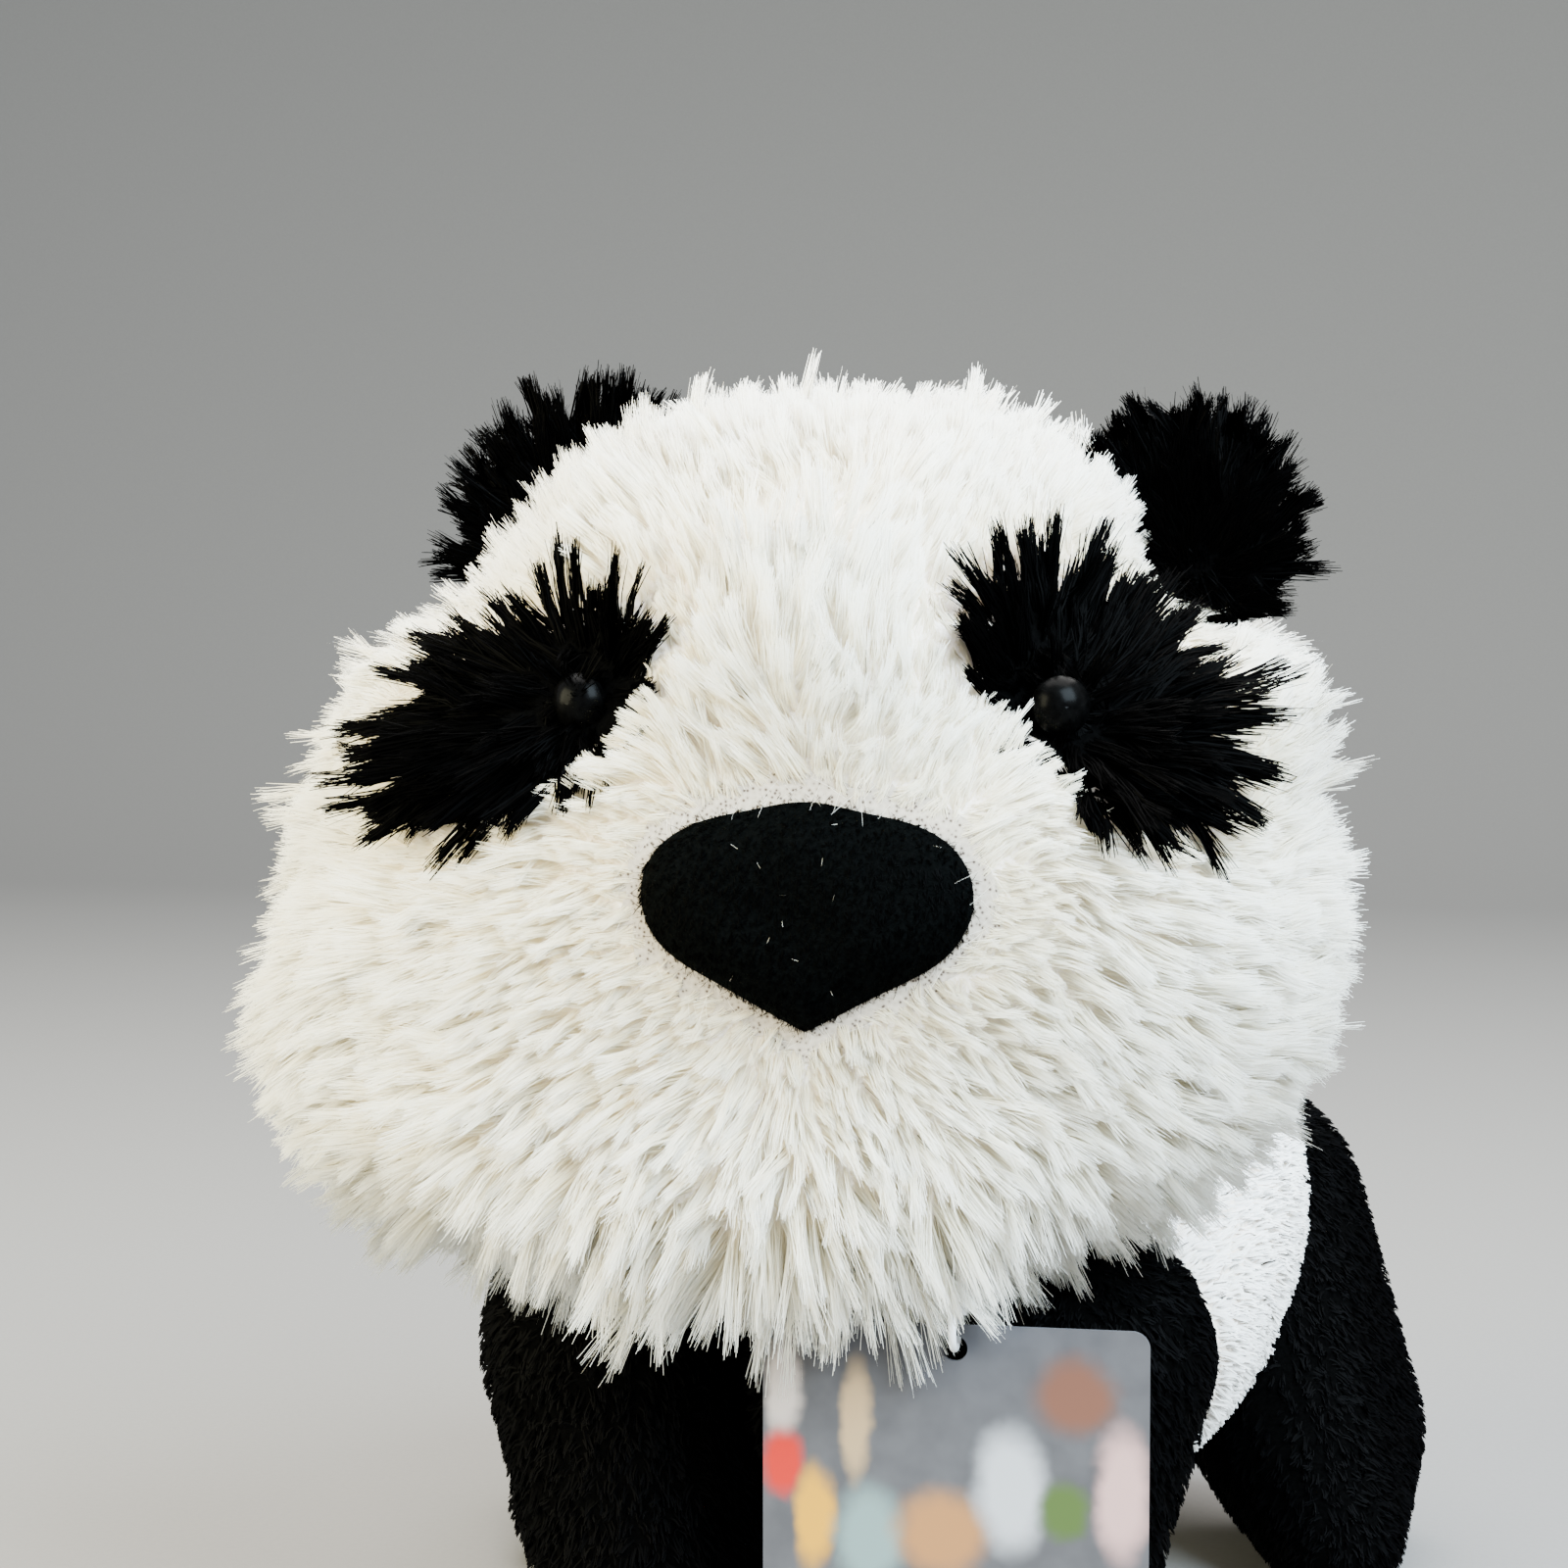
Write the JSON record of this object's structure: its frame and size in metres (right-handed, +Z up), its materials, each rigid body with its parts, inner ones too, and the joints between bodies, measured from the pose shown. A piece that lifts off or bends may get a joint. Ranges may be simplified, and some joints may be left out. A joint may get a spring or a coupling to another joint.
{
  "type": "plush panda",
  "caption": "Plush panda standing on all fours, with a large shaggy head, tufted ears and eye patches, a fleece nose and a swing tag.",
  "frame": {"origin": "centre of the footprint of the bounding box, on the floor under the feet", "axes": "+Z up, -Y the way the panda faces, +X towards the panda's left side"},
  "size_m": [0.2116, 0.328, 0.2539],
  "materials": {
    "long_white_plush": "long shaggy ivory pile",
    "long_black_plush": "long shaggy black pile",
    "short_black_plush": "short velvety black pile",
    "short_white_plush": "short velvety white pile",
    "knit_backing": "knitted backing with cropped pile",
    "black_fleece": "smooth black fleece",
    "stuffing": "loose polyester fibre",
    "pellets": "beads in a cloth bag",
    "label_satin": "plain satin ribbon",
    "eye_plastic": "polished",
    "washer_plastic": "moulded",
    "clear_plastic": "clear moulded nylon",
    "printed_card": "satin coated card with a soft picture"
  },
  "bodies": {
    "torso": {"shoulder_cover": "short_black_plush", "flank_cover": "short_white_plush", "rump_cover": "short_white_plush", "torso_stuffing": "stuffing", "pellet_bag": "pellets", "care_label": "label_satin", "tag_fastener": "clear_plastic"},
    "neck": {"neck_sleeve": "knit_backing"},
    "head": {"forehead_gusset": "long_white_plush", "cheek_left": "long_white_plush", "cheek_right": "long_white_plush", "head_back": "long_white_plush", "chin_panel": "long_white_plush", "muzzle_panel": "knit_backing", "head_stuffing": "stuffing", "nose_pad": "black_fleece", "eye_patch_left": "long_black_plush", "eye_patch_right": "long_black_plush", "eye_left": "eye_plastic", "eye_right": "eye_plastic", "eye_washer_left": "washer_plastic", "eye_washer_right": "washer_plastic"},
    "ear_left": {"ear_left_front": "long_black_plush", "ear_left_back": "long_black_plush"},
    "ear_right": {"ear_right_front": "long_black_plush", "ear_right_back": "long_black_plush"},
    "tail": {"tail_cover": "short_white_plush", "tail_stuffing": "stuffing"},
    "tag_loop": {"tag_loop": "clear_plastic"},
    "tag": {"swing_tag": "printed_card"},
    "front_leg_left": {"front_leg_left_cover": "short_black_plush", "front_leg_left_stuffing": "stuffing", "front_leg_left_sole": "short_black_plush"},
    "front_leg_right": {"front_leg_right_cover": "short_black_plush", "front_leg_right_stuffing": "stuffing", "front_leg_right_sole": "short_black_plush"},
    "hind_leg_left": {"hind_leg_left_cover": "short_black_plush", "hind_leg_left_stuffing": "stuffing", "hind_leg_left_sole": "short_black_plush"},
    "hind_leg_right": {"hind_leg_right_cover": "short_black_plush", "hind_leg_right_stuffing": "stuffing", "hind_leg_right_sole": "short_black_plush"}
  },
  "joints": [
    {"name": "neck_turn", "type": "hinge", "parent": "torso", "child": "neck", "pos_m": [0, -0.062, 0.126], "axis": [0, 0, 1], "range_deg": [-15, 15], "stiffness_Nm_per_rad": 1.5},
    {"name": "head_nod", "type": "hinge", "parent": "neck", "child": "head", "pos_m": [0, -0.062, 0.126], "axis": [1, 0, 0], "range_deg": [-15, 1.5], "stiffness_Nm_per_rad": 3},
    {"name": "ear_left_fold", "type": "hinge", "parent": "head", "child": "ear_left", "pos_m": [0.057, -0.066, 0.222], "axis": [0.788, 0, -0.6157], "range_deg": [-17, 17], "stiffness_Nm_per_rad": 0.05},
    {"name": "ear_right_fold", "type": "hinge", "parent": "head", "child": "ear_right", "pos_m": [-0.057, -0.066, 0.222], "axis": [0.788, 0, 0.6157], "range_deg": [-17, 17], "stiffness_Nm_per_rad": 0.05},
    {"name": "shoulder_left", "type": "hinge", "parent": "torso", "child": "front_leg_left", "pos_m": [0.042, -0.1, 0.084], "axis": [1, 0, 0], "range_deg": [-5, 12], "stiffness_Nm_per_rad": 3},
    {"name": "shoulder_right", "type": "hinge", "parent": "torso", "child": "front_leg_right", "pos_m": [-0.042, -0.1, 0.084], "axis": [1, 0, 0], "range_deg": [-5, 12], "stiffness_Nm_per_rad": 3},
    {"name": "hip_left", "type": "hinge", "parent": "torso", "child": "hind_leg_left", "pos_m": [0.054, 0.07, 0.075], "axis": [1, 0, 0], "range_deg": [-10, 10], "stiffness_Nm_per_rad": 3},
    {"name": "hip_right", "type": "hinge", "parent": "torso", "child": "hind_leg_right", "pos_m": [-0.054, 0.07, 0.075], "axis": [1, 0, 0], "range_deg": [-10, 10], "stiffness_Nm_per_rad": 3},
    {"name": "tail_wag", "type": "hinge", "parent": "torso", "child": "tail", "pos_m": [0, 0.136, 0.088], "axis": [1, 0, 0], "range_deg": [-20, 20], "stiffness_Nm_per_rad": 0.05},
    {"name": "tag_flap", "type": "hinge", "parent": "torso", "child": "tag_loop", "pos_m": [0.024, -0.147, 0.104], "axis": [1, 0, 0], "range_deg": [-30, 1]},
    {"name": "tag_sway", "type": "hinge", "parent": "tag_loop", "child": "tag", "pos_m": [0.024, -0.147, 0.096], "axis": [0, 1, 0], "range_deg": [-18, 18]}
  ]
}
